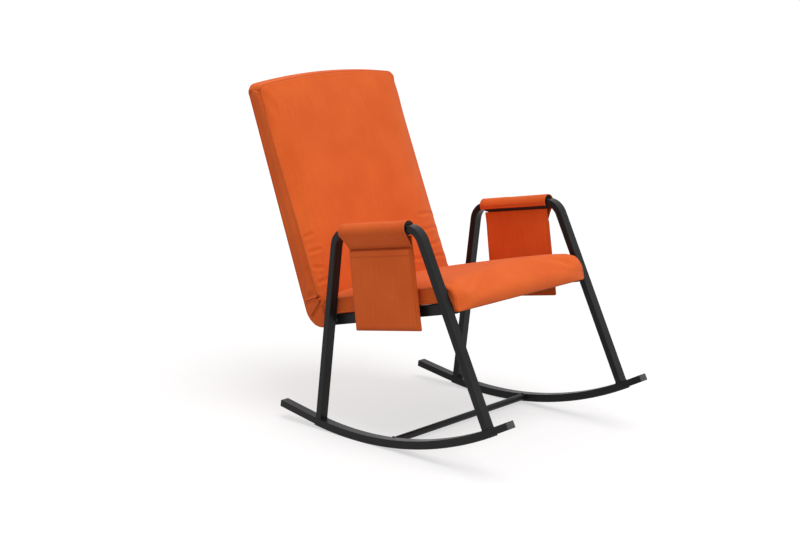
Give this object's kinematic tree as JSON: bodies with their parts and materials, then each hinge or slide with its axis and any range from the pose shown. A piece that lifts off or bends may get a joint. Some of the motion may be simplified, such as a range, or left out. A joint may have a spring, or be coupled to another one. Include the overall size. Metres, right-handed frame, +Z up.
{
  "type": "outdoor rocking chair",
  "caption": "Outdoor rocking chair: bent box-tube hoops on curved rockers carry an upholstered seat and high back, with cloth sleeves on the arms and a hanging pocket on each.",
  "frame": {"origin": "on the floor, half-way between the two rockers' points of contact, with the chair standing at rest", "axes": "-Y is the chair's front, +Z is up, +X is the chair's own left; the rockers roll along Y"},
  "size_m": [0.6524, 1.033, 1.0067],
  "materials": {
    "frame": "satin black powder coat",
    "cloth": "orange woven outdoor cloth",
    "foam": "open-cell foam",
    "pad": "black foam tube",
    "webbing": "black woven webbing",
    "glide": "matte black",
    "plug": "matte black",
    "zinc": "zinc plated"
  },
  "bodies": {
    "frame_and_seat": {"stretcher": "frame", "front_rail": "frame", "rear_rail": "frame", "top_rail": "frame", "right_hoop": "frame", "right_rocker": "frame", "right_side_tube": "frame", "right_glide_strip": "glide", "right_front_plug": "plug", "right_rear_plug": "plug", "right_arm_pad": "pad", "left_hoop": "frame", "left_rocker": "frame", "left_side_tube": "frame", "left_glide_strip": "glide", "left_front_plug": "plug", "left_rear_plug": "plug", "left_arm_pad": "pad", "frame_bolts": "zinc", "rivet_nuts": "zinc", "frame_spacers": "plug", "seat_webbing": "webbing", "back_webbing": "webbing", "seat_cover": "cloth", "back_cover": "cloth", "seat_foam": "foam", "back_foam": "foam"},
    "right_sleeve_and_pocket": {"right_arm_sleeve": "cloth", "right_pocket": "cloth"},
    "left_sleeve_and_pocket": {"left_arm_sleeve": "cloth", "left_pocket": "cloth"}
  },
  "joints": [
    {"name": "right_sleeve_turn", "type": "hinge", "parent": "frame_and_seat", "child": "right_sleeve_and_pocket", "pos_m": [-0.305, -0.08246, 0.61667], "axis": [0, 0.987, -0.1607], "range_deg": [-1.5, 90]},
    {"name": "left_sleeve_turn", "type": "hinge", "parent": "frame_and_seat", "child": "left_sleeve_and_pocket", "pos_m": [0.305, -0.08246, 0.61667], "axis": [0, -0.987, 0.1607], "range_deg": [-1.5, 90]}
  ]
}
